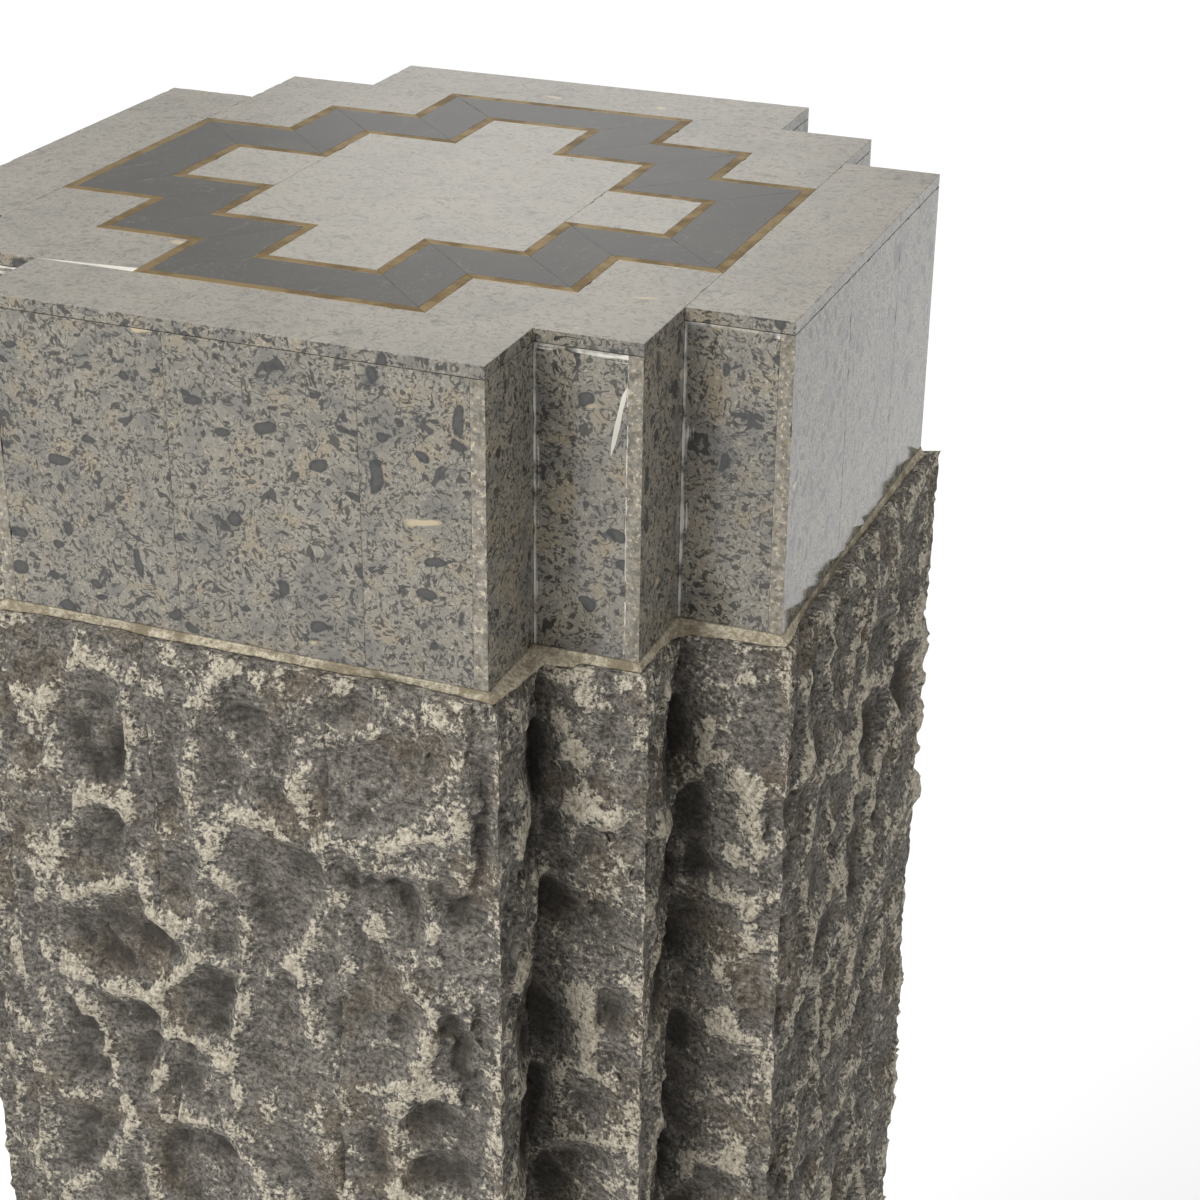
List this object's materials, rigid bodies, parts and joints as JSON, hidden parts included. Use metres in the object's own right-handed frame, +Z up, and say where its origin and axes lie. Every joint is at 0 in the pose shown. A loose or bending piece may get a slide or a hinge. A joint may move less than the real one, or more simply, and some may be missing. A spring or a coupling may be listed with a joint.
{
  "type": "stone pedestal",
  "caption": "Square pedestal with two-step notched corners: polished shell-limestone cap inlaid with a brass-edged dark stepped band, on a split-face stone shaft and a plain plinth.",
  "frame": {"origin": "centre of the plinth's underside, on the floor", "axes": "+Z up through the middle of the top, -Y towards the face on the left of the picture, +X towards the face on its right"},
  "size_m": [0.3259, 0.3251, 0.914],
  "materials": {
    "polished_stone": "polished grey shell limestone, full of small dark and cream fossils",
    "dark_stone": "polished dark grey limestone",
    "brass": "flush brass strip, dulled",
    "split_face_stone": "split-face limestone, grey-brown with a cream crust on its ridges",
    "mortar": "rough cream mortar"
  },
  "bodies": {
    "root": {"brass_strip_inner": "brass", "brass_strip_outer": "brass", "cap_block": "polished_stone", "dark_band_back": "dark_stone", "dark_band_corner_1": "dark_stone", "dark_band_corner_2": "dark_stone", "dark_band_corner_3": "dark_stone", "dark_band_corner_4": "dark_stone", "dark_band_front": "dark_stone", "dark_band_left": "dark_stone", "dark_band_right": "dark_stone", "field_left": "polished_stone", "field_middle": "polished_stone", "field_right": "polished_stone", "mortar_bed_lower": "mortar", "mortar_bed_upper": "mortar", "plinth": "polished_stone", "shaft_slab_back_1": "split_face_stone", "shaft_slab_back_2": "split_face_stone", "shaft_slab_back_3": "split_face_stone", "shaft_slab_corner_1_1": "split_face_stone", "shaft_slab_corner_1_2": "split_face_stone", "shaft_slab_corner_1_3": "split_face_stone", "shaft_slab_corner_1_4": "split_face_stone", "shaft_slab_corner_2_1": "split_face_stone", "shaft_slab_corner_2_2": "split_face_stone", "shaft_slab_corner_2_3": "split_face_stone", "shaft_slab_corner_2_4": "split_face_stone", "shaft_slab_corner_3_1": "split_face_stone", "shaft_slab_corner_3_2": "split_face_stone", "shaft_slab_corner_3_3": "split_face_stone", "shaft_slab_corner_3_4": "split_face_stone", "shaft_slab_corner_4_1": "split_face_stone", "shaft_slab_corner_4_2": "split_face_stone", "shaft_slab_corner_4_3": "split_face_stone", "shaft_slab_corner_4_4": "split_face_stone", "shaft_slab_front_1": "split_face_stone", "shaft_slab_front_2": "split_face_stone", "shaft_slab_front_3": "split_face_stone", "shaft_slab_left_1": "split_face_stone", "shaft_slab_left_2": "split_face_stone", "shaft_slab_left_3": "split_face_stone", "shaft_slab_right_1": "split_face_stone", "shaft_slab_right_2": "split_face_stone", "shaft_slab_right_3": "split_face_stone", "top_border_back": "polished_stone", "top_border_corner_1": "polished_stone", "top_border_corner_2": "polished_stone", "top_border_corner_3": "polished_stone", "top_border_corner_4": "polished_stone", "top_border_front": "polished_stone", "top_border_left": "polished_stone", "top_border_right": "polished_stone"}
  },
  "joints": []
}
